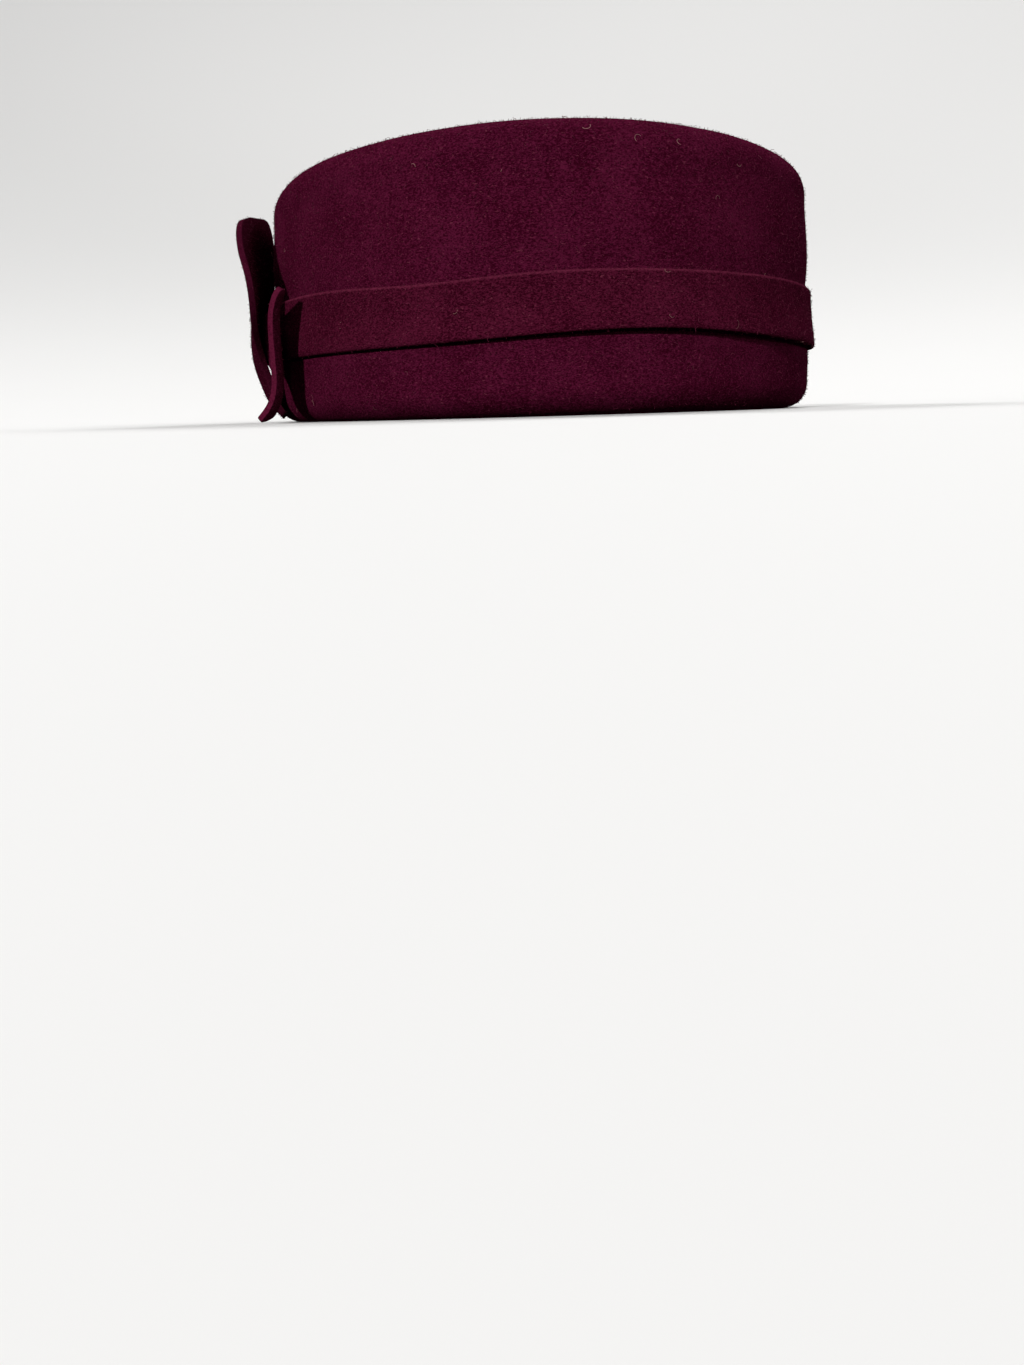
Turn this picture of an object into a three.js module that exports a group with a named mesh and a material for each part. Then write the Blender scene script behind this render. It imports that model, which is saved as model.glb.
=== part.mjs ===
// A felt pillbox hat: a blocked crown, a felt band and a two-leaf felt trim at the right ear.
// Millimetres, +Z up. The brow is at -Y and the wearer's right ear at -X.
// The hat stands on its rim, whose flat underside is z = 0.
import * as THREE from 'three';

// Crown: one piece of felt, blocked over an oval form and turned in at the bottom.
const HALF_WIDTH = 89;            // from the middle to the outside at the ear
const LENGTH_RATIO = 1.2;         // brow-to-nape length over ear-to-ear width
const FELT = 2.4;                 // thickness of the crown's felt
const SHOULDER_BASE = 58.8;       // height at which the wall starts to turn over
const SHOULDER_HEIGHT = 72.8;     // height that the turn reaches, without the dome
const DOME = 2.6;                 // extra height in the middle of the top
const TOP_REACH = 0.9635;         // share of the width left where the shoulder starts
const WIDEST_HEIGHT = 30;         // the wall is at its full width here
const SHOULDER_SIDE_POWER = 6.15; // the higher, the squarer the shoulder seen from above the wall
const SHOULDER_TOP_POWER = 3.13;  // the higher, the squarer the shoulder seen from the side
const HEM_RADIUS = 6.9;           // soft corner between the wall and the turned-in hem
const HEM_REACH = 1.0026;         // share of the width at the top of that corner
const HEM_DEPTH = 10.5;           // from the outside of the wall to the edge of the head opening
const CUT_EDGE_ROUND = 0.6;       // softening of a cut felt edge

// Band: a felt strip drawn tight round the crown, so that the wall is pinched under it.
const PINCH = { depth: 1.7, height: 31, spread: 9.5 };
const BAND_FELT = 1.6;
const BAND_EDGE_FELT = 0.9;       // the upper cut edge is pressed thinner
const BAND_BEVEL_START = 0.84;    // share of the band's height from which it thins to that edge
const SEAT_GAP = 0.3;             // clearance between pieces that are sewn together
// Angles are from the brow, in degrees, positive towards the left ear. The band's edges are level
// but for soft swells: each has its height, the angle of its middle and its spread.
const BAND_LOW = { level: 18.0, swell: { rise: 2.4, angle: 12, spread: 26 } };
const BAND_HIGH = { level: 34.5, swell: { rise: -1.6, angle: -26, spread: 17 } };
// The lower edge stands off the crown over the brow.
const BAND_STAND = { level: 0, swell: { rise: 1.2, angle: 10, spread: 45 } };

// Trim: two felt leaves at the right ear. A row is one station along a leaf. Its middle is at fore
// (towards the brow), out (towards the right ear) and up from the middle of the rim, and half is
// half its width. Its two side edges lean apart, are both cupped inwards, and are tilted so that
// one comes before the other along the leaf. What a row leaves out is 0.
// The rows give the leaf as it is cut. It is then pulled forward: by so many millimetres at its root
// and its tip, growing between two shares of its length. For each millimetre it also goes inwards
// and sinks a little, and its hind edge takes only a share of the pull.
const LEAF_FELT = 1.8;
const TALL_LEAF = {
  run: 'up', across: 'fore', curl: 1.5, root: { length: 0.16, narrowest: 0.35 },
  tip: { length: 0.16, narrowest: 0.55 },
  pull: { root: 0, tip: 25, from: 0.22, to: 0.8, hind: 0, inward: 0.17, sink: { root: 0, tip: 0.22 } },
  rows: [
    { up: 1.8, fore: 40, out: 82.8, half: 9, lean: -1.6, cup: 0.2 },
    { up: 6, fore: 37, out: 86.8, half: 9.5, lean: -2.0, cup: 0.6 },
    { up: 12, fore: 33.5, out: 89.7, half: 11, lean: -2.4, cup: 1.5 },
    { up: 18, fore: 30, out: 91.7, half: 12.5, lean: -2.5, cup: 1.6 },
    { up: 24, fore: 27, out: 92.4, half: 14, lean: -1.9, cup: 1.4 },
    { up: 30, fore: 24, out: 91.8, half: 15.5, lean: -0.9, cup: 0.9 },
    { up: 38, fore: 20, out: 90.7, half: 17.5, lean: 0.2, cup: 0.5 },
    { up: 46, fore: 15.5, out: 90.6, half: 19.5, lean: 1.0, cup: 0.1, tilt: 0.4 },
    { up: 54.5, fore: 10.5, out: 91.2, half: 20.5, lean: 2.5, cup: -0.4, tilt: 1.2 },
    { up: 64.6, fore: 6.5, out: 92.0, half: 20.5, lean: 4.2, cup: -0.9, tilt: 2.4 },
  ],
};
const FRONT_LEAF = {
  run: 'fore', across: 'up', curl: 4, root: { length: 0.1, narrowest: 0.7 },
  tip: { length: 0.08, narrowest: 0.88 },
  pull: { root: 5, tip: 8.6, from: 0, to: 1, hind: 1, inward: 0.22, sink: { root: 0.1, tip: 0 } },
  rows: [
    { fore: 27, up: 24.5, out: 89.4, half: 5.5 },
    { fore: 32, up: 24.5, out: 88.1, half: 6.3 },
    { fore: 38, up: 24, out: 86.2, half: 7.4 },
    { fore: 45, up: 22.5, out: 84.0, half: 9.6, lean: -0.2 },
    { fore: 51, up: 20.6, out: 82.5, half: 13.0, lean: -1.2, cup: -0.1 },
    { fore: 56, up: 19.2, out: 81.6, half: 16.0, lean: -2.6, cup: -0.4 },
    { fore: 59, up: 18.6, out: 81.8, half: 17.2, lean: -4.0, cup: -0.9 },
    { fore: 60.6, up: 18.2, out: 82.8, half: 17.4, lean: -4.6, cup: -1.4 },
  ],
};

const RING_SEGMENTS = 64;
const SHOULDER_STEPS = 7;
const WALL_STEPS = 11;
const HEM_STEPS = 4;
const LEAF_STEPS_LONG = 16;
const LEAF_STEPS_ACROSS = 8;

const FELT_ROUGHNESS = 0.95;
const COLOURS = { crown: 0x420d22, band: 0x3c0b1d, tall_leaf: 0x360a1b, front_leaf: 0x360a1b };

// ---- Meshes -----------------------------------------------------------------------------

function meshFrom(name, points, triangles) {
  const geometry = new THREE.BufferGeometry();
  geometry.setAttribute('position', new THREE.Float32BufferAttribute(points.flat(), 3));
  geometry.setIndex(triangles.flat());
  geometry.computeVertexNormals();
  const felt = { color: COLOURS[name], roughness: FELT_ROUGHNESS, metalness: 0 };
  const mesh = new THREE.Mesh(geometry, new THREE.MeshStandardMaterial(felt));
  mesh.name = name;
  return mesh;
}

// Joins rings of points, one after the other. A ring of one point is a pole.
function ringTriangles(sizes, closed) {
  const starts = [];
  let total = 0;
  for (const size of sizes) {
    starts.push(total);
    total += size;
  }
  const triangles = [];
  const joins = closed ? sizes.length : sizes.length - 1;
  for (let ring = 0; ring < joins; ring += 1) {
    const next = (ring + 1) % sizes.length;
    const count = Math.max(sizes[ring], sizes[next]);
    for (let i = 0; i < count; i += 1) {
      const j = (i + 1) % count;
      const here = (k) => starts[ring] + (sizes[ring] === 1 ? 0 : k);
      const there = (k) => starts[next] + (sizes[next] === 1 ? 0 : k);
      if (sizes[ring] > 1) triangles.push([here(i), there(i), here(j)]);
      if (sizes[next] > 1) triangles.push([here(j), there(i), there(j)]);
    }
  }
  return triangles;
}

// A point of the oval at an angle from the brow, `offset` outside the oval that is scaled by reach.
function onOval(reach, angle, height, offset = 0) {
  const halfWidth = HALF_WIDTH * reach + offset;
  const halfLength = HALF_WIDTH * LENGTH_RATIO * reach + offset;
  return [halfWidth * Math.sin(angle), -halfLength * Math.cos(angle), height];
}

// ---- Crown ------------------------------------------------------------------------------

// Share of the full width that the wall has at a height, pinched where the band is drawn tight.
function wallReach(height) {
  const below = THREE.MathUtils.mapLinear(height, HEM_RADIUS, WIDEST_HEIGHT, HEM_REACH, 1);
  const above = THREE.MathUtils.mapLinear(height, WIDEST_HEIGHT, SHOULDER_BASE, 1, TOP_REACH);
  const pinch = PINCH.depth * Math.exp(-(((height - PINCH.height) / PINCH.spread) ** 2));
  return (height < WIDEST_HEIGHT ? below : above) - pinch / HALF_WIDTH;
}

// Outside of the felt from the middle of the top to the edge of the head opening.
function crownOutside() {
  const points = [];
  for (let step = SHOULDER_STEPS; step > 0; step -= 1) {
    const turn = (step / SHOULDER_STEPS) * (Math.PI / 2);
    const reach = step === SHOULDER_STEPS ? 0 : TOP_REACH * Math.cos(turn) ** (2 / SHOULDER_SIDE_POWER);
    const rise = (SHOULDER_HEIGHT - SHOULDER_BASE) * Math.sin(turn) ** (2 / SHOULDER_TOP_POWER);
    points.push({ reach, height: SHOULDER_BASE + rise + DOME * (1 - reach * reach) });
  }
  for (let step = 0; step < WALL_STEPS; step += 1) {
    const height = THREE.MathUtils.lerp(SHOULDER_BASE, HEM_RADIUS, step / WALL_STEPS);
    points.push({ reach: wallReach(height), height });
  }
  for (let step = 0; step <= HEM_STEPS; step += 1) {
    const turn = (step / HEM_STEPS) * (Math.PI / 2);
    const inset = HEM_RADIUS * (1 - Math.cos(turn));
    points.push({ reach: HEM_REACH - inset / HALF_WIDTH, height: HEM_RADIUS * (1 - Math.sin(turn)) });
  }
  const edge = HEM_REACH - (HEM_DEPTH - CUT_EDGE_ROUND) / HALF_WIDTH;
  points.push({ reach: edge, height: 0 });
  return points;
}

// The inside is the outside moved in by the felt's thickness, square to the surface.
function crown() {
  const outside = crownOutside();
  const depths = outside.map((point, i) => {
    const before = outside[Math.max(i - 1, 0)];
    const after = outside[Math.min(i + 1, outside.length - 1)];
    const along = new THREE.Vector2((after.reach - before.reach) * HALF_WIDTH, after.height - before.height);
    along.normalize();
    return i === 0 ? new THREE.Vector2(0, -1) : new THREE.Vector2(along.y, -along.x);
  });
  const ring = (reach, height, offset) => (reach === 0
    ? [[0, 0, height]]
    : Array.from({ length: RING_SEGMENTS }, (_, k) => (
      onOval(reach, (k / RING_SEGMENTS) * 2 * Math.PI, height, offset))));
  const rings = outside.map(({ reach, height }) => ring(reach, height, 0));
  const edge = outside[outside.length - 1];
  rings.push(ring(edge.reach, CUT_EDGE_ROUND, -CUT_EDGE_ROUND));
  rings.push(ring(edge.reach, FELT - CUT_EDGE_ROUND, -CUT_EDGE_ROUND));
  for (let i = outside.length - 1; i >= 0; i -= 1) {
    const { reach, height } = outside[i];
    rings.push(ring(reach, height + depths[i].y * FELT, depths[i].x * FELT));
  }
  return meshFrom('crown', rings.flat(), ringTriangles(rings.map((r) => r.length), false));
}

// ---- Band -------------------------------------------------------------------------------

// Height of an edge at an angle: its level and its one swell.
function edgeAt({ level, swell }, angle) {
  const away = THREE.MathUtils.euclideanModulo(angle - swell.angle + 180, 360) - 180;
  return level + swell.rise * Math.exp(-((away / swell.spread) ** 2));
}

function band() {
  const section = [
    { share: 0.3, depth: 0 },
    { share: 0.6, depth: 0 },
    { share: 1, depth: 0 },
    { share: 1, depth: BAND_EDGE_FELT / BAND_FELT },
    { share: BAND_BEVEL_START, depth: 1 },
    { share: 0.6, depth: 1 },
    { share: 0.3, depth: 1 },
    { share: 0, depth: 1 },
    { share: 0, depth: 0 },
  ];
  const rings = section.map(({ share, depth }) => Array.from({ length: RING_SEGMENTS }, (_, k) => {
    const angle = (k / RING_SEGMENTS) * 360;
    const height = THREE.MathUtils.lerp(edgeAt(BAND_LOW, angle), edgeAt(BAND_HIGH, angle), share);
    const lift = edgeAt(BAND_STAND, angle) * (1 - share) ** 2;
    return onOval(
      wallReach(height), THREE.MathUtils.degToRad(angle), height, SEAT_GAP + lift + depth * BAND_FELT);
  }));
  return meshFrom('band', rings.flat(), ringTriangles(rings.map((r) => r.length), true));
}

// ---- Trim -------------------------------------------------------------------------------

// One value of a leaf's table at a share of its length, on a smooth curve through the rows.
function tableValue(rows, key, share) {
  const place = share * (rows.length - 1);
  const row = Math.min(Math.floor(place), rows.length - 2);
  const at = (i) => rows[THREE.MathUtils.clamp(i, 0, rows.length - 1)][key] ?? 0;
  const t = place - row;
  const [a, b, c, d] = [at(row - 1), at(row), at(row + 1), at(row + 2)];
  const bend = 2 * a - 5 * b + 4 * c - d;
  const turn = 3 * b - a - 3 * c + d;
  return b + 0.5 * ((c - a) * t + bend * t ** 2 + turn * t ** 3);
}

// Share of the full half width at a share of the length: both ends of a leaf are rounded off.
function leafTaper(leaf, share) {
  const rounded = (end, distance) => {
    const into = Math.max(0, 1 - distance / end.length);
    return THREE.MathUtils.lerp(end.narrowest, 1, Math.sqrt(1 - into * into));
  };
  return Math.min(rounded(leaf.root, share), rounded(leaf.tip, 1 - share));
}

// Middle of a leaf's felt, share along it from 0 to 1 and side across it from -1 to 1.
function leafPoint(leaf, share, side) {
  const value = (key) => tableValue(leaf.rows, key, share);
  const place = { fore: value('fore'), up: value('up') };
  const reach = side * leafTaper(leaf, share);
  place[leaf.across] += reach * value('half');
  place[leaf.run] -= reach * value('tilt');
  const curl = Math.abs(reach) ** leaf.curl;
  const out = value('out') + curl * (value('lean') * Math.sign(side) - value('cup'));
  const { pull } = leaf;
  const grown = THREE.MathUtils.smoothstep(share, pull.from, pull.to);
  const edgeShare = THREE.MathUtils.lerp(pull.hind, 1, (reach + 1) / 2);
  const forward = THREE.MathUtils.lerp(pull.root, pull.tip, grown) * edgeShare;
  const sunk = forward * THREE.MathUtils.lerp(pull.sink.root, pull.sink.tip, share);
  return new THREE.Vector3(-out + forward * pull.inward, -place.fore - forward, place.up - sunk);
}

// Thickens the middle surface to a closed sheet of even thickness.
function leafMesh(name, leaf) {
  const faces = [[], []];
  const nudge = 0.01;
  for (let i = 0; i <= LEAF_STEPS_LONG; i += 1) {
    for (let j = 0; j <= LEAF_STEPS_ACROSS; j += 1) {
      const share = (1 - Math.cos((i / LEAF_STEPS_LONG) * Math.PI)) / 2;
      const side = (2 * j) / LEAF_STEPS_ACROSS - 1;
      const along = leafPoint(leaf, Math.min(share + nudge, 1), side)
        .sub(leafPoint(leaf, Math.max(share - nudge, 0), side));
      const across = leafPoint(leaf, share, Math.min(side + nudge, 1))
        .sub(leafPoint(leaf, share, Math.max(side - nudge, -1)));
      const normal = along.cross(across).normalize().multiplyScalar(LEAF_FELT / 2);
      const middle = leafPoint(leaf, share, side);
      faces[0].push(middle.clone().add(normal).toArray());
      faces[1].push(middle.clone().sub(normal).toArray());
    }
  }
  const width = LEAF_STEPS_ACROSS + 1;
  const count = faces[0].length;
  const triangles = [];
  const quad = (a, b, c, d) => triangles.push([a, b, c], [a, c, d]);
  for (let i = 0; i < LEAF_STEPS_LONG; i += 1) {
    for (let j = 0; j < LEAF_STEPS_ACROSS; j += 1) {
      const corner = i * width + j;
      quad(corner, corner + width, corner + width + 1, corner + 1);
      quad(count + corner, count + corner + 1, count + corner + width + 1, count + corner + width);
    }
    const left = i * width;
    const right = left + LEAF_STEPS_ACROSS;
    quad(left, count + left, count + left + width, left + width);
    quad(right, right + width, count + right + width, count + right);
  }
  for (let j = 0; j < LEAF_STEPS_ACROSS; j += 1) {
    const end = LEAF_STEPS_LONG * width + j;
    quad(j, j + 1, count + j + 1, count + j);
    quad(end, count + end, count + end + 1, end + 1);
  }
  return meshFrom(name, faces.flat(), triangles);
}

// ---- Hat --------------------------------------------------------------------------------

const hat = new THREE.Group();
hat.add(crown());
hat.add(band());
hat.add(leafMesh('tall_leaf', TALL_LEAF));
hat.add(leafMesh('front_leaf', FRONT_LEAF));

// The origin is under the middle of the whole hat, trim included.
const footprint = new THREE.Box3().setFromObject(hat).getCenter(new THREE.Vector3());
hat.position.set(-footprint.x, -footprint.y, 0);

export default hat;
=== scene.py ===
# %% Load the fixed frame
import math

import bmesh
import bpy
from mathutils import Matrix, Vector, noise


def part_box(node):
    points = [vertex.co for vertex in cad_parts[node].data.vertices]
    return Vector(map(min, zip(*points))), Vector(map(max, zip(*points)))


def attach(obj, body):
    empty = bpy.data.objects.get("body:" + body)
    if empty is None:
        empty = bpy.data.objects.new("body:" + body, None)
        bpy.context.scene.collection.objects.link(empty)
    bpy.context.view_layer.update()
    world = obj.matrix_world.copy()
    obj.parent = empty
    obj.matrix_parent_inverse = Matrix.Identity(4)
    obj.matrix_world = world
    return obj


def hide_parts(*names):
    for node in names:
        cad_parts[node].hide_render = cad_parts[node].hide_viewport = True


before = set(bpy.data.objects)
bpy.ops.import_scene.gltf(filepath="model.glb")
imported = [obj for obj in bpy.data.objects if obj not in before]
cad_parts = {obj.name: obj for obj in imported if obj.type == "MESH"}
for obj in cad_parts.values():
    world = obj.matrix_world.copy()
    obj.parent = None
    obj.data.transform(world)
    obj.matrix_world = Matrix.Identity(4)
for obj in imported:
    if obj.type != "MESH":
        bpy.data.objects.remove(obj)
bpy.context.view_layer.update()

# %% [markdown]
# # A felt pillbox hat
# The frame that was just loaded holds the hat's plain solids: `crown`, `band`, `tall_leaf` and
# `front_leaf`. This lesson dresses each of them as felt. A solid is never moved or changed here:
# a finer piece is built in the same place and stands for it.

# %% [markdown]
# ## Measuring the blocked form
# A milliner pulls a felt hood over a wooden block, so the crown is the shape of the block: an oval,
# longer from brow to nape than from ear to ear. Everything else sits on that form, so its sizes are
# read from the frame once. The modelling is done in millimetres from the middle of the oval, and the
# last step of each piece brings the mesh to metres and to its place.

# %% The oval's sizes, from the frame
crown_low, crown_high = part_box("crown")
HEM_REACH = 1.0026  # the hem is a touch wider than the wall
HALF_WIDTH = (crown_high.x - crown_low.x) * 500 / HEM_REACH
LENGTH_RATIO = (crown_high.y - crown_low.y) / (crown_high.x - crown_low.x)
HEIGHT = crown_high.z * 1000
MIDDLE = (crown_low + crown_high) / 2
TO_ROW = Matrix.Translation((MIDDLE.x, MIDDLE.y, 0)) @ Matrix.Scale(0.001, 4)
print(f"oval {2 * HALF_WIDTH:.1f} x {2 * HALF_WIDTH * LENGTH_RATIO:.1f} mm, {HEIGHT:.1f} mm high")


def on_oval(reach, angle, height, offset=0.0):
    """A point at an angle from the brow, offset outside the oval that is scaled by reach."""
    half_width = HALF_WIDTH * reach + offset
    half_length = HALF_WIDTH * LENGTH_RATIO * reach + offset
    return Vector((half_width * math.sin(angle), -half_length * math.cos(angle), height))


# %% [markdown]
# ## The wall's section
# The wall widens down to the band, is pinched where the band is drawn tight, and turns in at the hem.
# One function gives its width at any height, because the band has to follow the same wall. A drawn
# spline would do for the crown alone, but the band could then float off it or sink into it.

# %% Width of the wall at each height
TOP_REACH = 0.9635
WIDEST_HEIGHT = 30
SHOULDER_BASE = 58.8
HEM_RADIUS = 6.9
PINCH_DEPTH, PINCH_HEIGHT, PINCH_SPREAD = 1.7, 31, 9.5


def blend(value, low, high, at_low, at_high):
    """A straight change from at_low to at_high while value goes from low to high."""
    return at_low + (at_high - at_low) * (value - low) / (high - low)


def wall_reach(height):
    """Share of the full width that the wall has at a height in millimetres."""
    if height < WIDEST_HEIGHT:
        reach = blend(height, HEM_RADIUS, WIDEST_HEIGHT, HEM_REACH, 1)
    else:
        reach = blend(height, WIDEST_HEIGHT, SHOULDER_BASE, 1, TOP_REACH)
    pinch = PINCH_DEPTH * math.exp(-(((height - PINCH_HEIGHT) / PINCH_SPREAD) ** 2))
    return reach - pinch / HALF_WIDTH


print("wall at 10, 31 and 58 mm:", [round(wall_reach(h) * HALF_WIDTH, 1) for h in (10, 31, 58)])

# %% [markdown]
# ## Hand blocking
# Felt that was steamed and pulled by hand is never perfectly even. A smooth random field, with
# swells a few centimetres across, moves every surface in or out by a fraction of a millimetre. The
# crown and the band read the same field, so the band stays on the wall.

# %% Soft unevenness of the felt
SWELL_DEPTH = 0.35  # millimetres
SWELL_SIZE = 34


def swell(point):
    """How far the felt at a point lies outside the perfect form."""
    return SWELL_DEPTH * noise.noise(point / SWELL_SIZE)


# %% [markdown]
# ## The crown
# The crown is one piece of felt: the flat top, the shoulder, the wall and the turned-in hem. Its
# section is drawn as a chain of vertices from the middle of the top to the edge of the head opening,
# and `spin` turns it round the upright axis. Scaling the result along Y makes the oval. Only then does
# `solidify` give the felt its thickness, so that it is even all round.

# %% The crown's section
SHOULDER_HEIGHT = 72.8
DOME = 2.6
SHOULDER_SIDE_POWER = 6.15
SHOULDER_TOP_POWER = 3.13
HEM_DEPTH = 10.5
FELT = 2.4
TOP_FLAT = 0.93  # share of the top's reach where it starts to turn over
SECTION_STEPS = {"top": 16, "shoulder": 9, "wall": 30, "hem": 8}


def shares(first, last, steps):
    """Evenly spaced values from first to last, both included."""
    return [first + (last - first) * step / steps for step in range(steps + 1)]


def crown_section():
    """(reach, height) from the middle of the top to the edge of the head opening."""
    over = [
        (side, (1 - side**SHOULDER_SIDE_POWER) ** (1 / SHOULDER_TOP_POWER))
        for side in shares(0, TOP_FLAT, SECTION_STEPS["top"])
    ]
    down = [
        ((1 - rise**SHOULDER_TOP_POWER) ** (1 / SHOULDER_SIDE_POWER), rise)
        for rise in shares(over[-1][1], 0, SECTION_STEPS["shoulder"])
    ]
    section = []
    for side, rise in over + down[1:]:
        reach = TOP_REACH * side
        height = SHOULDER_BASE + (SHOULDER_HEIGHT - SHOULDER_BASE) * rise + DOME * (1 - reach**2)
        section.append((reach, height))
    # the superellipse ends a little above the wall, because the dome still adds a trace there
    for height in shares(SHOULDER_BASE, HEM_RADIUS, SECTION_STEPS["wall"])[1:]:
        section.append((wall_reach(height), height))
    for turn in shares(0, math.pi / 2, SECTION_STEPS["hem"])[1:]:
        inset = HEM_RADIUS * (1 - math.cos(turn))
        section.append((HEM_REACH - inset / HALF_WIDTH, HEM_RADIUS * (1 - math.sin(turn))))
    section.append((HEM_REACH - HEM_DEPTH / HALF_WIDTH, 0))
    return section


print(len(crown_section()), "points in the crown's section")

# %% From a section to an object
def spun(section, steps, join):
    """A section of (out, up) spun round the upright axis. Vertices closer than join become one."""
    bm = bmesh.new()
    chain = [bm.verts.new((out, 0, up)) for out, up in section]
    edges = [bm.edges.new(pair) for pair in zip(chain, chain[1:])]
    bmesh.ops.spin(
        bm, geom=chain + edges, cent=(0, 0, 0), axis=(0, 0, 1), dvec=(0, 0, 0),
        angle=2 * math.pi, steps=steps, use_merge=True, use_duplicate=False,
    )
    bmesh.ops.remove_doubles(bm, verts=bm.verts, dist=join)
    return bm


def add_object(name, data):
    """A new object in the scene for a mesh, a light or a camera."""
    made = bpy.data.objects.new(name, data)
    bpy.context.scene.collection.objects.link(made)
    return made


def smooth_object(name, bm):
    """A bmesh as a smooth object."""
    mesh = bpy.data.meshes.new(name)
    bm.to_mesh(mesh)
    bm.free()
    mesh.shade_smooth()
    return add_object(name, mesh)


def finish_mesh(name, bm):
    """Puts a bmesh in its place, in metres, and makes it a smooth object."""
    bmesh.ops.transform(bm, matrix=TO_ROW, verts=bm.verts)
    piece = smooth_object(name, bm)
    sides = [round(side * 1000, 1) for side in piece.dimensions]
    print(f"{name}: {len(piece.data.polygons)} faces, {sides} mm")
    return piece


# %% Spinning the crown
AROUND = 192
JOIN = 0.001  # millimetres: vertices closer than this are one


def crown_shell():
    """The crown's outside as an open shell with its faces outwards."""
    bm = spun([(HALF_WIDTH * reach, height) for reach, height in crown_section()], AROUND, JOIN)
    bmesh.ops.scale(bm, vec=(1, LENGTH_RATIO, 1), verts=bm.verts)
    bmesh.ops.recalc_face_normals(bm, faces=bm.faces)
    bm.normal_update()
    top = max(bm.faces, key=lambda face: face.calc_center_median().z)
    if top.normal.z < 0:
        bmesh.ops.reverse_faces(bm, faces=bm.faces)
        bm.normal_update()
    for vert in bm.verts:
        above_the_hem = min(1, vert.co.z / HEM_RADIUS)
        vert.co += vert.normal * swell(vert.co) * above_the_hem
    return bm


crown_bm = crown_shell()
crown_skin = finish_mesh("crown_skin", crown_bm.copy())
bmesh.ops.solidify(crown_bm, geom=crown_bm.faces[:], thickness=FELT)
crown = finish_mesh("crown_felt", crown_bm)

# %% [markdown]
# ## The band
# The band is a felt strip laid round the wall. Its upper edge is cut, and its thin light line is a painted
# highlight where the fibres of the cut edge catch the light from above. Its lower edge stands off the
# crown over the brow and throws the dark line under it. A curve with a bevel would twist on the oval, so a
# circle is extruded once for each point of the strip's section, each ring is set against the wall, and
# `bridge_loops` closes the last ring to the first.

# %% Edges of the band
BAND_FELT = 1.6
SEAT_GAP = 0.3
BAND_LOW = {"level": 18.0, "rise": 2.4, "angle": 12, "spread": 26}
BAND_HIGH = {"level": 34.5, "rise": -1.6, "angle": -26, "spread": 17}
BAND_STAND = {"level": 0.0, "rise": 1.2, "angle": 10, "spread": 45}


def edge_at(edge, angle):
    """Height of an edge at an angle in degrees: its level and its one soft swell."""
    away = (angle - edge["angle"] + 180) % 360 - 180
    return edge["level"] + edge["rise"] * math.exp(-((away / edge["spread"]) ** 2))


def band_place(angle, share, depth):
    """A point of the band: share of its height from 0 to 1, depth through its felt from 0 to 1."""
    degrees = math.degrees(angle)
    height = blend(share, 0, 1, edge_at(BAND_LOW, degrees), edge_at(BAND_HIGH, degrees))
    lift = edge_at(BAND_STAND, degrees) * (1 - share) ** 2
    offset = SEAT_GAP + lift + depth * BAND_FELT
    point = on_oval(wall_reach(height), angle, height, offset)
    outwards = Vector((point.x, point.y / LENGTH_RATIO, 0)).normalized()
    return point + outwards * swell(point)


# %% Extruding the band
BAND_INSIDE = [(share, 0.0) for share in shares(0.04, 0.96, 8)]
BAND_TOP = [(0.99, 0.1), (1.0, 0.3), (1.0, 0.65), (0.99, 0.86), (0.972, 0.97)]
BAND_OUTSIDE = [(share, 1.0) for share in shares(0.945, 0.08, 9)]
BAND_BOTTOM = [(0.025, 0.92), (0.0, 0.7), (0.0, 0.35), (0.012, 0.1)]
BAND_SECTION = BAND_INSIDE + BAND_TOP + BAND_OUTSIDE + BAND_BOTTOM


def extruded_rings(count, around):
    """A bmesh with count rings of vertices joined like a pipe, and the rings, all on one circle."""
    bm = bmesh.new()
    bm.verts.layers.float.new("cut_edge_highlight")
    bmesh.ops.create_circle(bm, segments=around, radius=1)
    edges = bm.edges[:]
    first_edges = edges
    rings = [bm.verts[:]]
    for _ in range(count - 1):
        grown = bmesh.ops.extrude_edge_only(bm, edges=edges)["geom"]
        edges = [item for item in grown if isinstance(item, bmesh.types.BMEdge)]
        edges = [edge for edge in edges if len(edge.link_faces) == 1]
        rings.append([item for item in grown if isinstance(item, bmesh.types.BMVert)])
    return bm, rings, first_edges, edges


def band_bmesh():
    """The whole band: one ring of vertices for each point of its section, set against the wall."""
    bm, rings, first_edges, last_edges = extruded_rings(len(BAND_SECTION), AROUND)
    cut = bm.verts.layers.float["cut_edge_highlight"]
    for (share, depth), ring in zip(BAND_SECTION, rings):
        for vert in ring:
            angle = math.atan2(vert.co.x, -vert.co.y)
            vert.co = band_place(angle, share, depth)
            # the cut top edge is marked for a painted highlight, where its fibres catch the light from
            # above
            vert[cut] = 1.0 if (share, depth) in BAND_TOP else 0.0
    bmesh.ops.bridge_loops(bm, edges=first_edges + last_edges)
    bmesh.ops.recalc_face_normals(bm, faces=bm.faces)
    return bm


band = finish_mesh("band_felt", band_bmesh())

# %% [markdown]
# ## The trim
# Two leaves cut from stiffened felt stand at the right ear. Each is a flat cut that was bent while it
# was damp, so each starts as a flat grid. A short table says where the middle of the leaf runs and how
# its two edges lie, and every vertex of the grid is set from a smooth curve through the table's rows.
# The leaf is then pulled towards the brow: from `root` at its foot to `tip` at its end, growing between
# two shares of its length, with the hind edge held back to the share `hind`. For every millimetre of
# that it also goes `inward` and has a `sink`, first at the root and then at the tip.
# The grid then gets its thickness, and `bevel` rounds the cut edges.

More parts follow.
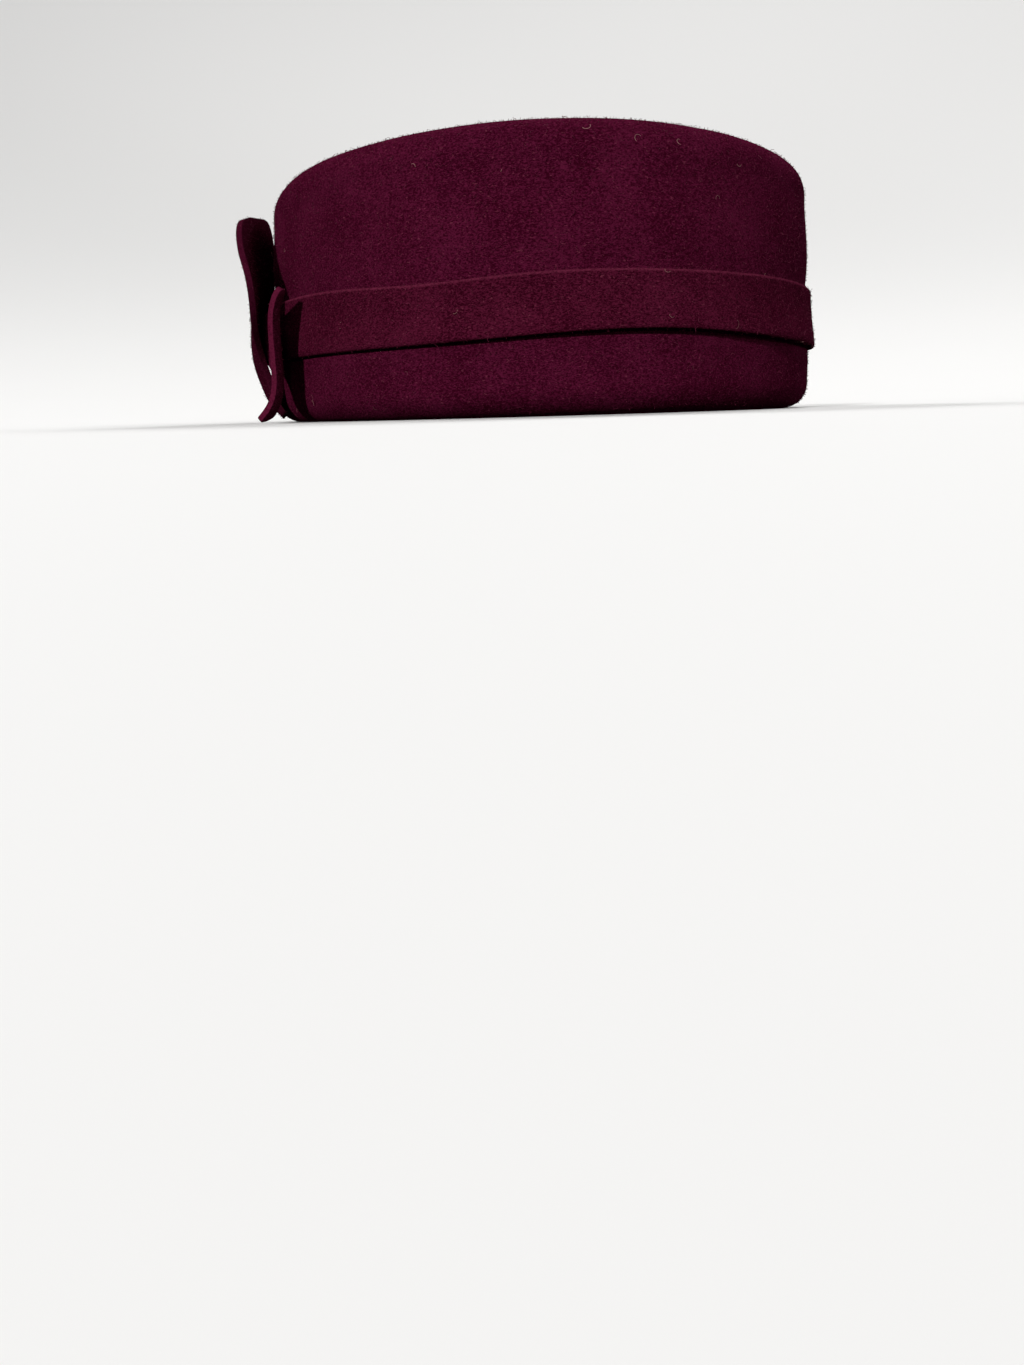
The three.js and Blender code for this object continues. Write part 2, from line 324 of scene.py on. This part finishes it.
# %% The leaves' tables, in millimetres from the middle of the rim
LEAF_FELT = 1.8
TALL_LEAF = {
    "run": "up", "across": "fore", "curl": 1.5,
    "root": {"length": 0.16, "narrowest": 0.35}, "tip": {"length": 0.24, "narrowest": 0.38},
    "pull": {"root": 0, "tip": 25, "from": 0.22, "to": 0.8, "hind": 0, "inward": 0.17, "sink": (0, 0.22)},
    "rows": [
        {"up": 1.8, "fore": 40, "out": 82.8, "half": 9, "lean": -1.6, "cup": 0.2},
        {"up": 6, "fore": 37, "out": 86.8, "half": 9.5, "lean": -2, "cup": 0.6},
        {"up": 12, "fore": 33.5, "out": 89.7, "half": 11, "lean": -2.4, "cup": 1.5},
        {"up": 18, "fore": 30, "out": 91.7, "half": 12.5, "lean": -2.5, "cup": 1.6},
        {"up": 24, "fore": 27, "out": 92.4, "half": 14, "lean": -1.9, "cup": 1.4},
        {"up": 30, "fore": 24, "out": 91.8, "half": 15.5, "lean": -0.9, "cup": 0.9},
        {"up": 38, "fore": 20, "out": 90.7, "half": 17.5, "lean": 0.2, "cup": 0.5},
        {"up": 46, "fore": 15.5, "out": 90.6, "half": 19.5, "lean": 1, "cup": 0.1, "tilt": 0.4},
        {"up": 54.5, "fore": 10.5, "out": 91.2, "half": 20.5, "lean": 2.5, "cup": -0.4, "tilt": 1.2},
        {"up": 64.6, "fore": 6.5, "out": 92, "half": 20.5, "lean": 4.2, "cup": -0.9, "tilt": 2.4},
    ],
}
FRONT_LEAF = {
    "run": "fore", "across": "up", "curl": 4,
    "root": {"length": 0.1, "narrowest": 0.7}, "tip": {"length": 0.08, "narrowest": 0.88},
    "pull": {"root": 5, "tip": 8.6, "from": 0, "to": 1, "hind": 1, "inward": 0.22, "sink": (0.1, 0)},
    "rows": [
        {"fore": 27, "up": 24.5, "out": 89.4, "half": 5.5},
        {"fore": 32, "up": 24.5, "out": 88.1, "half": 6.3},
        {"fore": 38, "up": 24, "out": 86.2, "half": 7.4},
        {"fore": 45, "up": 22.5, "out": 84, "half": 9.6, "lean": -0.2},
        {"fore": 51, "up": 20.6, "out": 82.5, "half": 13, "lean": -1.2, "cup": -0.1},
        {"fore": 56, "up": 19.2, "out": 81.6, "half": 16, "lean": -2.6, "cup": -0.4},
        {"fore": 59, "up": 18.6, "out": 81.8, "half": 17.2, "lean": -4, "cup": -0.9},
        {"fore": 60.6, "up": 18.2, "out": 82.8, "half": 17.4, "lean": -4.6, "cup": -1.4},
    ],
}

# %% Reading a leaf's table
def table_value(rows, key, share):
    """One value at a share of the leaf's length, on a smooth curve through the rows."""
    place = share * (len(rows) - 1)
    row = min(int(place), len(rows) - 2)
    t = place - row
    a, b, c, d = (rows[min(max(i, 0), len(rows) - 1)].get(key, 0) for i in range(row - 1, row + 3))
    bend = 2 * a - 5 * b + 4 * c - d
    turn = 3 * b - a - 3 * c + d
    return b + 0.5 * ((c - a) * t + bend * t**2 + turn * t**3)


def leaf_taper(leaf, share):
    """Share of the full half width, because both ends of a leaf are rounded off."""
    def rounded(end, distance):
        into = max(0, 1 - distance / end["length"])
        return blend(math.sqrt(1 - into**2), 0, 1, end["narrowest"], 1)

    return min(rounded(leaf["root"], share), rounded(leaf["tip"], 1 - share))


def leaf_point(leaf, share, side):
    """Middle of the leaf's felt, share along it from 0 to 1 and side across it from -1 to 1."""
    columns = ("up", "fore", "out", "half", "lean", "cup", "tilt")
    value = {key: table_value(leaf["rows"], key, share) for key in columns}
    reach = side * leaf_taper(leaf, share)
    value[leaf["across"]] += reach * value["half"]
    value[leaf["run"]] -= reach * value["tilt"]
    curl = abs(reach) ** leaf["curl"]
    out = value["out"] + curl * (math.copysign(value["lean"], side * value["lean"]) - value["cup"])
    pull = leaf["pull"]
    rise = min(max(blend(share, pull["from"], pull["to"], 0, 1), 0), 1)
    grown = rise * rise * (3 - 2 * rise)
    forward = blend(grown, 0, 1, pull["root"], pull["tip"]) * blend(reach, -1, 1, pull["hind"], 1)
    sunk = forward * blend(share, 0, 1, *pull["sink"])
    return Vector((forward * pull["inward"] - out, -value["fore"] - forward, value["up"] - sunk))


# %% Bending a grid into a leaf
LEAF_LONG, LEAF_ACROSS = 44, 18


def leaf_bmesh(leaf):
    """The middle of the leaf's felt, with its edge marked."""
    bm = bmesh.new()
    cut = bm.verts.layers.float.new("cut_edge_highlight")
    bmesh.ops.create_grid(bm, x_segments=LEAF_LONG, y_segments=LEAF_ACROSS, size=1)
    for vert in bm.verts:
        share = (vert.co.x + 1) / 2
        closer_at_the_ends = (1 - math.cos(share * math.pi)) / 2
        vert.co = leaf_point(leaf, (share + closer_at_the_ends) / 2, vert.co.y)
        # the cut edge is marked for a painted highlight along the lit edge
        vert[cut] = 1.0 if vert.is_boundary else 0.0
    return bm


# %% Two leaves with the felt's thickness and a rounded cut edge
LEAF_EDGE_ROUND = 0.65  # millimetres
LEAF_EDGE_ANGLE = 50  # degrees: only sharper edges are rounded
LEAF_EDGE_STEPS = 3


def cut_from_felt(piece):
    """Gives a thin piece the felt's thickness, half to each side, and rounds the cut edge."""
    felt = piece.modifiers.new("felt", "SOLIDIFY")
    felt.thickness = LEAF_FELT / 1000
    felt.offset = 0
    rounding = piece.modifiers.new("cut_edge_round", "BEVEL")
    rounding.limit_method = "ANGLE"
    rounding.angle_limit = math.radians(LEAF_EDGE_ANGLE)
    rounding.width = LEAF_EDGE_ROUND / 1000
    rounding.segments = LEAF_EDGE_STEPS


tall_leaf = finish_mesh("tall_leaf_shaded_felt", leaf_bmesh(TALL_LEAF))
front_leaf = finish_mesh("front_leaf_lit_felt", leaf_bmesh(FRONT_LEAF))
for leaf in (tall_leaf, front_leaf):
    cut_from_felt(leaf)

# %% [markdown]
# ## The felt's finish
# Wool felt is a mat of fine curly fibres. Close to, it shows short light curls on a darker ground,
# fine grain between them, and soft clouds where the brushing changed. A thin line that curls like a
# fibre is a contour of a soft noise: wherever the noise passes through one half, the line is drawn, and
# a second noise breaks it into short pieces. All patterns read Object coordinates, so they run on over
# seams and hems. The sheen is the pale bloom of the nap where one looks along the surface.

# %% Small helpers for nodes
def node(tree, kind, **values):
    """A new node with its properties and its unlinked inputs set."""
    made = tree.nodes.new(kind)
    for key, value in values.items():
        if key in made.inputs:
            made.inputs[key].default_value = value
        else:
            setattr(made, key, value)
    return made


def math_node(tree, operation, *inputs):
    """The output of a Math node, whose inputs are numbers or other outputs."""
    made = node(tree, "ShaderNodeMath", operation=operation)
    for socket, value in zip(made.inputs, inputs):
        if isinstance(value, (int, float)):
            socket.default_value = value
        else:
            tree.links.new(value, socket)
    return made.outputs[0]


def new_material(name, finish):
    """A material, its node tree and its shader, with the shader's inputs set by their names."""
    material = bpy.data.materials.new(name)
    material.use_nodes = True
    shader = material.node_tree.nodes["Principled BSDF"]
    for key, value in finish.items():
        shader.inputs[key].default_value = value
    return material, material.node_tree, shader


# %% Helpers for colours
def toned(tree, tone, dark, light, start=0.0, end=1.0):
    """A colour that goes from dark to light while the tone goes from start to end."""
    ramp = node(tree, "ShaderNodeValToRGB")
    for element, position, colour in zip(ramp.color_ramp.elements, (start, end), (dark, light)):
        element.position = position
        element.color = (*colour, 1)
    tree.links.new(tone, ramp.inputs["Fac"])
    return ramp.outputs["Color"]


def tinted(tree, share, ground, tint):
    """The ground's colour, changed to the tint where the share is 1."""
    mix = node(tree, "ShaderNodeMix", data_type="RGBA")
    tree.links.new(share, mix.inputs[0])
    tree.links.new(ground, mix.inputs[6])
    mix.inputs[7].default_value = (*tint, 1)
    return mix.outputs[2]


# %% The felt's patterns
# scale is how many swells lie in a metre, and shift moves one pattern away from another
CURLS = [{"scale": 620, "shift": 0.0}, {"scale": 950, "shift": 0.31}]
CURL_WIDTH = 0.05
PATTERNS = {
    "curl": {"detail": 1.5, "distortion": 0.7},
    "breaks": {"scale": 900, "detail": 1, "shift": 0.17},
    "grain": {"scale": 1700, "detail": 3, "distortion": 0.4},
    "clouds": {"scale": 75, "detail": 3},
    "specks": {"scale": 1300, "detail": 1, "distortion": 0.3, "shift": 0.43},
}


def noise_at(tree, where, scale, detail, distortion=0.0, shift=0.0):
    """The value of a noise texture with a size, moved by a shift in metres."""
    moved = node(tree, "ShaderNodeVectorMath", operation="ADD")
    moved.inputs[1].default_value = (shift, shift, shift)
    tree.links.new(where, moved.inputs[0])
    texture = node(tree, "ShaderNodeTexNoise", Scale=scale, Detail=detail, Distortion=distortion)
    tree.links.new(moved.outputs[0], texture.inputs["Vector"])
    return texture.outputs["Fac"]


def curl_lines(tree, where, scale, shift):
    """Thin curly lines: 1 on the contour of a noise, 0 beside it."""
    field = noise_at(tree, where, scale=scale, shift=shift, **PATTERNS["curl"])
    away = math_node(tree, "ABSOLUTE", math_node(tree, "SUBTRACT", field, 0.5))
    fade = math_node(tree, "SUBTRACT", 1, math_node(tree, "DIVIDE", away, CURL_WIDTH))
    return math_node(tree, "MAXIMUM", fade, 0)


# %% Curls, grain and specks
BREAK_STRENGTH = 1.6
GRAIN = {"contrast": 2.5, "level": -0.75}
SPECKS = {"contrast": 7, "level": -4.6, "most": 0.7}
SPECK = (0.17, 0.032, 0.058)  # paler fibres that were dyed less


def broken_curls(tree, where):
    """Curly lines of two sizes, broken into short pieces."""
    lines = math_node(tree, "MAXIMUM", *[curl_lines(tree, where, **size) for size in CURLS])
    breaks = noise_at(tree, where, **PATTERNS["breaks"])
    return math_node(tree, "MULTIPLY", lines, math_node(tree, "MULTIPLY", breaks, BREAK_STRENGTH))


def grain_between(tree, where):
    """Fine grain with strong contrast."""
    grain = noise_at(tree, where, **PATTERNS["grain"])
    return math_node(tree, "MULTIPLY_ADD", grain, GRAIN["contrast"], GRAIN["level"])


def few_specks(tree, where):
    """How much of a pale fibre shows: 0 nearly everywhere."""
    specks = noise_at(tree, where, **PATTERNS["specks"])
    specks = math_node(tree, "MULTIPLY_ADD", specks, SPECKS["contrast"], SPECKS["level"])
    return math_node(tree, "MAXIMUM", math_node(tree, "MINIMUM", specks, SPECKS["most"]), 0)


# %% Felt as a node material
FELT_FINISH = {
    "Roughness": 0.95, "Specular IOR Level": 0.0,
    "Sheen Weight": 0.02, "Sheen Roughness": 0.5, "Sheen Tint": (0.7, 0.05, 0.22, 1),
}
NAP_LEVEL = 1.9  # how many times longer than high the fibres lie, because the nap is brushed level
SHARE = {"curls": 0.42, "grain": 0.62, "clouds": 0.5}  # of each pattern in the felt's tone
DEEPEST_TONE, LIGHTEST_TONE = 0.46, 0.90
BUMP = {"Strength": 0.5, "Distance": 0.00025}


def felt_material(name, deep, light, edge):
    """deep and light are the colours of the ground and the curls, edge the colour of the painted highlight
    along a cut edge.
    """
    material, tree, shader = new_material(name, FELT_FINISH)
    link = tree.links.new
    place = node(tree, "ShaderNodeTexCoord").outputs["Object"]
    brushed = node(tree, "ShaderNodeMapping", Scale=(1, 1, NAP_LEVEL))
    link(place, brushed.inputs["Vector"])
    where = brushed.outputs["Vector"]
    grain = math_node(tree, "MULTIPLY", grain_between(tree, where), SHARE["grain"])
    fine = math_node(tree, "MULTIPLY_ADD", broken_curls(tree, where), SHARE["curls"], grain)
    clouds = noise_at(tree, place, **PATTERNS["clouds"])
    tone = math_node(tree, "MULTIPLY_ADD", clouds, SHARE["clouds"], fine)
    ground = toned(tree, tone, deep, light, DEEPEST_TONE, LIGHTEST_TONE)
    speckled = tinted(tree, few_specks(tree, where), ground, SPECK)
    # painted highlight: the marked cut edge is tinted towards the paler edge colour
    cut = node(tree, "ShaderNodeAttribute", attribute_name="cut_edge_highlight").outputs["Fac"]
    edge_highlighted = tinted(tree, math_node(tree, "MULTIPLY", cut, tone), speckled, edge)
    link(edge_highlighted, shader.inputs["Base Color"])
    bump = node(tree, "ShaderNodeBump", **BUMP)
    link(fine, bump.inputs["Height"])
    link(bump.outputs["Normal"], shader.inputs["Normal"])
    return material


# %% The four felts; the two leaves share one trim felt, painted darker on the tall leaf as shade and lighter on the front leaf as light
FELTS = {
    "crown_felt": {
        "deep": (0.033, 0.0009, 0.0078), "light": (0.098, 0.0075, 0.031), "edge": (0.08, 0.009, 0.026),
    },
    "band_felt": {
        # the edge colour is the painted highlight on the band's cut top line
        "deep": (0.027, 0.0008, 0.0060), "light": (0.092, 0.0078, 0.027), "edge": (0.14, 0.018, 0.045),
    },
    # the trim felt painted darker here: painted shade on the tall leaf
    "tall_leaf_shaded_felt": {
        "deep": (0.017, 0.0005, 0.0036), "light": (0.058, 0.0045, 0.017), "edge": (0.058, 0.005, 0.018),
    },
    # the same trim felt painted lighter here: painted light on the front leaf
    "front_leaf_lit_felt": {
        "deep": (0.036, 0.0011, 0.0085), "light": (0.11, 0.0085, 0.034), "edge": (0.12, 0.011, 0.036),
    },
}
for piece in (crown, band, tall_leaf, front_leaf):
    look = felt_material(piece.name, **FELTS[piece.name])
    piece.data.materials.append(look)
    print(piece.name, "has", len(look.node_tree.nodes), "nodes")

# %% [markdown]
# ## Loose fibres
# A felt hat is never smooth at its outline: loose curly fibres stand a fraction of a millimetre off the
# felt, lighter than the ground because the light shines through them. They are scattered by Geometry
# Nodes: points on the skin, on each point a thin three-sided arc or hair, turned at random. The
# instances are realized, so the fibres are a true mesh in every file that the hat is saved to.
# The seeds don't fix the spots everywhere: `spin` and the extrusion number their faces in a new order
# each time, so the fibres of the crown and the band stand on other spots after every run.

# %% The kinds of fibre, in millimetres, degrees and pieces for each square centimetre
FIBRE_RADIUS = 0.04
FIBRES = {
    "curl": {"size": 0.5, "sweep": 130, "points": 3, "lean": 34, "dense": 10},
    "stubble": {"size": 0.4, "sweep": 0, "points": 2, "lean": 52, "dense": 32},
    "lint": {"size": 0.75, "sweep": 190, "points": 8, "lean": 12, "dense": 0.22},
}
FIBRE_LIFT = 0.05  # how far the foot of a curl stands off the felt
FIBRE_SIZES = (0.5, 1.5)  # a fibre's least and greatest size, as a share of its kind's
CLEAR_OF_FLOOR = 3  # no fibre grows lower than this many times its size


def fibre_path(group, kind):
    """The middle line of one fibre, from its foot: a flat curl, or a short straight hair."""
    size = kind["size"] / 1000
    if not kind["sweep"]:
        return node(group, "GeometryNodeCurvePrimitiveLine", End=(0, 0, size)).outputs["Curve"]
    arc = node(group, "GeometryNodeCurveArc", Resolution=kind["points"], Radius=size)
    arc.inputs["Sweep Angle"].default_value = math.radians(kind["sweep"])
    start = node(group, "GeometryNodeTransform", Translation=(-size, 0, FIBRE_LIFT / 1000))
    group.links.new(arc.outputs["Curve"], start.inputs["Geometry"])
    return start.outputs[0]


def one_fibre(group, kind):
    """One fibre as a thin three-sided tube."""
    ring = node(group, "GeometryNodeCurvePrimitiveCircle", Resolution=3, Radius=FIBRE_RADIUS / 1000)
    fibre = node(group, "GeometryNodeCurveToMesh")
    group.links.new(fibre_path(group, kind), fibre.inputs["Curve"])
    group.links.new(ring.outputs["Curve"], fibre.inputs["Profile Curve"])
    return fibre.outputs[0]


# %% Where the fibres stand, and how each is turned
RANDOM_SOCKETS = {"FLOAT_VECTOR": (0, 1, 0), "FLOAT": (2, 3, 1)}  # least, most and output of each type


def random_value(group, data_type, least, most, seed):
    """A random value for each point."""
    made = node(group, "FunctionNodeRandomValue", data_type=data_type, Seed=seed)
    least_socket, most_socket, output = RANDOM_SOCKETS[data_type]
    made.inputs[least_socket].default_value = least
    made.inputs[most_socket].default_value = most
    return made.outputs[output]


def scattered(group, skin, kind, seed):
    """Points on a skin, but none close to the floor."""
    scatter = node(group, "GeometryNodeDistributePointsOnFaces", Density=kind["dense"] * 10000, Seed=seed)
    group.links.new(skin, scatter.inputs["Mesh"])
    place = node(group, "ShaderNodeSeparateXYZ")
    group.links.new(node(group, "GeometryNodeInputPosition").outputs[0], place.inputs[0])
    lowest = CLEAR_OF_FLOOR * kind["size"] / 1000
    clear = math_node(group, "GREATER_THAN", place.outputs["Z"], lowest)
    group.links.new(clear, scatter.inputs["Selection"])
    return scatter.outputs["Points"], scatter.outputs["Rotation"]


def leaning(group, rotation, kind, seed):
    """A rotation turned at random round the felt's normal, and leaned a little."""
    lean = math.radians(kind["lean"])
    turn = random_value(group, "FLOAT_VECTOR", (-lean, -lean, 0), (lean, lean, 2 * math.pi), seed)
    as_rotation = node(group, "FunctionNodeEulerToRotation")
    group.links.new(turn, as_rotation.inputs[0])
    turned = node(group, "FunctionNodeRotateRotation", rotation_space="LOCAL")
    group.links.new(rotation, turned.inputs[0])
    group.links.new(as_rotation.outputs[0], turned.inputs[1])
    return turned.outputs[0]


# %% A fibre scatter as a node group
def fibre_nodes(name, kind, seed, look):
    """A node group that turns a skin into the fibres that stand on it."""
    group = bpy.data.node_groups.new(name, "GeometryNodeTree")
    group.interface.new_socket("Geometry", in_out="INPUT", socket_type="NodeSocketGeometry")
    group.interface.new_socket("Geometry", in_out="OUTPUT", socket_type="NodeSocketGeometry")
    link = group.links.new
    points, rotation = scattered(group, node(group, "NodeGroupInput").outputs[0], kind, seed)
    place = node(group, "GeometryNodeInstanceOnPoints")
    link(points, place.inputs["Points"])
    link(one_fibre(group, kind), place.inputs["Instance"])
    link(leaning(group, rotation, kind, seed + 1), place.inputs["Rotation"])
    link(random_value(group, "FLOAT", *FIBRE_SIZES, seed + 2), place.inputs["Scale"])
    keep = node(group, "GeometryNodeStoreNamedAttribute", data_type="FLOAT", domain="INSTANCE")
    keep.inputs["Name"].default_value = "tone"
    link(random_value(group, "FLOAT", 0, 1, seed + 3), keep.inputs["Value"])
    link(place.outputs[0], keep.inputs["Geometry"])
    real = node(group, "GeometryNodeRealizeInstances")
    link(keep.outputs[0], real.inputs[0])
    paint = node(group, "GeometryNodeSetMaterial")
    paint.inputs["Material"].default_value = look
    link(real.outputs[0], paint.inputs["Geometry"])
    link(paint.outputs[0], node(group, "NodeGroupOutput").inputs[0])
    return group


# %% What the fibres look like
def fibre_material(name, dark, light):
    """Each fibre has one tone between dark and light."""
    material, tree, shader = new_material(name, {"Roughness": 0.85, "Specular IOR Level": 0.1})
    tone = node(tree, "ShaderNodeAttribute", attribute_name="tone").outputs["Fac"]
    tree.links.new(toned(tree, tone, dark, light), shader.inputs["Base Color"])
    return material


WOOL_LOOK = fibre_material("loose_fibres", (0.05, 0.003, 0.014), (0.17, 0.024, 0.055))
LINT_LOOK = fibre_material("stray_lint", (0.16, 0.040, 0.060), (0.50, 0.26, 0.24))
FIBRE_LOOKS = {"curl": WOOL_LOOK, "stubble": WOOL_LOOK, "lint": LINT_LOOK}

# %% Fibres on every piece
DRESSED = [
    {"piece": crown, "skin": crown_skin.data, "solid": "crown", "slot": "crown_felt", "seed": 11},
    {"piece": band, "skin": band.data, "solid": "band", "slot": "band_felt", "seed": 21},
    {"piece": tall_leaf, "skin": tall_leaf.data, "solid": "tall_leaf", "slot": "trim_felt", "seed": 31},
    {"piece": front_leaf, "skin": front_leaf.data, "solid": "front_leaf", "slot": "trim_felt", "seed": 41},
]
SEEDS_FOR_A_KIND = 4  # a scatter uses four random series


def fibres_on(row, kind, seed):
    """A new object of fibres on a skin, with the felt modifiers of the piece that it stands on."""
    name = row["solid"] + "_" + kind
    made = add_object(name, row["skin"].copy())
    if "felt" in row["piece"].modifiers:
        cut_from_felt(made)
    scatter = made.modifiers.new("fibres", "NODES")
    scatter.node_group = fibre_nodes(name, FIBRES[kind], seed, FIBRE_LOOKS[kind])
    return made


fibres = []
for row in DRESSED:
    for step, kind in enumerate(FIBRES):
        made = fibres_on(row, kind, row["seed"] + step * SEEDS_FOR_A_KIND)
        fibres.append((made, row["slot"]))
bpy.data.objects.remove(crown_skin)
print(len(fibres), "objects of loose fibres")

# %% Which solid each piece stands for
for row in DRESSED:
    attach(row["piece"], "root")
    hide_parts(row["solid"])

for piece, slot in fibres:
    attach(piece, "root")

# %% [markdown]
# ## What was cut flat
# The crown was never a flat piece: it was pulled hot over a wooden block from a cone of felt. The band
# and the leaves were cut flat. The band is a straight strip that was damped and drawn tight round the
# crown, so its length is once round the oval. A leaf was cut flat and bent while damp, and its area is
# summed in short strips along it, so that the rounded ends count as they are.

# %% Points along the band's middle and its height all round
turns = shares(-math.pi, math.pi, AROUND)
middle = [band_place(angle, 0.5, 0.5) for angle in turns]
heights = [(band_place(angle, 1, 0.5) - band_place(angle, 0, 0.5)).length for angle in turns[1:]]

# %% Flat sizes of the leaves
LEAF_STRIPS = 60


def leaf_flat(leaf):
    """Width and length in metres and area in square metres of a leaf before it was bent."""
    width = length = area = 0
    ends = shares(0, 1, LEAF_STRIPS)
    for start, end in zip(ends, ends[1:]):
        step = (leaf_point(leaf, end, 0) - leaf_point(leaf, start, 0)).length / 1000
        across = (leaf_point(leaf, end, 1) - leaf_point(leaf, end, -1)).length / 1000
        width = max(width, across)
        length += step
        area += step * across
    return width, length, area


for piece, table in ((tall_leaf, TALL_LEAF), (front_leaf, FRONT_LEAF)):
    width, length, area = leaf_flat(table)
    print(piece.name, "cut", round(width, 4), "by", round(length, 4), "m,", round(area, 5), "square m")

# %% [markdown]
# ## Floor, light and camera
# The hat stands by itself on a pale floor that curves up all round, so no line shows behind it
# from any side. The floor is a short section spun round the upright axis. It casts no shadow, so
# the lights can stand outside it, and it throws no light back: a pale floor this close would fill
# the deep shadows beside the trim.

# %% The floor
FLOOR_FLAT, FLOOR_CURVE, FLOOR_TOP = 1.6, 1.6, 3.2  # metres
FLOOR_CURVE_STEPS, FLOOR_AROUND = 12, 96
FLOOR_JOIN = 1e-6  # metres
FLOOR_FINISH = {"Base Color": (0.85, 0.845, 0.835, 1), "Roughness": 0.9}


def floor_section():
    """(out, up) of the floor's section in metres: flat, curved up, then upright."""
    section = [(0, 0), (FLOOR_FLAT, 0)]
    for turn in shares(0, math.pi / 2, FLOOR_CURVE_STEPS)[1:]:
        out = FLOOR_FLAT + FLOOR_CURVE * math.sin(turn)
        section.append((out, FLOOR_CURVE * (1 - math.cos(turn))))
    return section + [(FLOOR_FLAT + FLOOR_CURVE, FLOOR_TOP)]


floor_bm = spun(floor_section(), FLOOR_AROUND, FLOOR_JOIN)
bmesh.ops.recalc_face_normals(floor_bm, faces=floor_bm.faces)
floor = smooth_object("floor", floor_bm)
floor_paint, _, _ = new_material("floor_paint", FLOOR_FINISH)
floor.data.materials.append(floor_paint)
floor.visible_diffuse = False
floor.visible_shadow = False
print("floor", [round(side, 2) for side in floor.dimensions], "m")

# %% Lights
# degrees: azimuth from the brow towards the right ear, and width of the sun's disc
SUNS = {
    "key": {"azimuth": 33, "elevation": 20, "width": 3, "strength": 2.3},
    "front": {"azimuth": 0, "elevation": 12, "width": 8, "strength": 0.2},
    "ceiling": {"azimuth": 10, "elevation": 65, "width": 20, "strength": 0.25},
    "right": {"azimuth": -45, "elevation": 25, "width": 6, "strength": 0.5},
    "side": {"azimuth": -95, "elevation": 30, "width": 8, "strength": 0.35},
    "back_left": {"azimuth": 150, "elevation": 40, "width": 20, "strength": 1.3},
    "back_right": {"azimuth": -150, "elevation": 40, "width": 20, "strength": 1.5},
}
WORLD_STRENGTH = 0.03


def sun(name, azimuth, elevation, width, strength):
    """Even light from one direction."""
    a, e = math.radians(azimuth), math.radians(elevation)
    towards = Vector((-math.sin(a) * math.cos(e), -math.cos(a) * math.cos(e), math.sin(e)))
    data = bpy.data.lights.new(name, "SUN")
    data.angle = math.radians(width)
    data.energy = strength
    add_object(name, data).rotation_euler = towards.to_track_quat("Z", "Y").to_euler()


for name, place in SUNS.items():
    sun(name, **place)
world = bpy.data.worlds.new("studio")
bpy.context.scene.world = world
world.use_nodes = True
world.node_tree.nodes["Background"].inputs["Color"].default_value = (1, 1, 1, 1)
world.node_tree.nodes["Background"].inputs["Strength"].default_value = WORLD_STRENGTH
bpy.context.scene.view_settings.view_transform = "Standard"
print(len(SUNS), "suns")

# %% Camera
LENS, SENSOR_WIDTH = 25.71, 36  # millimetres
NEAREST_SEEN = 0.001  # metres
EYE_ASIDE, EYE_BEFORE, EYE_HEIGHT = 0.0378, 0.3584, 0.002  # metres, from the middle of the rim
YAW, PITCH, ROLL = math.radians(4.13), math.radians(15.65), math.radians(-1.67)

camera = add_object("camera", bpy.data.cameras.new("camera"))
bpy.context.scene.camera = camera
camera.data.lens = LENS
camera.data.sensor_width = SENSOR_WIDTH
camera.data.clip_start = NEAREST_SEEN
camera.location = (MIDDLE.x - EYE_ASIDE, MIDDLE.y - EYE_BEFORE, EYE_HEIGHT)
aim = Matrix.Rotation(-YAW, 4, "Z") @ Matrix.Rotation(math.pi / 2 - PITCH, 4, "X")
camera.rotation_euler = (aim @ Matrix.Rotation(ROLL, 4, "Z")).to_euler()
print("camera at", [round(side, 3) for side in camera.location], "m")
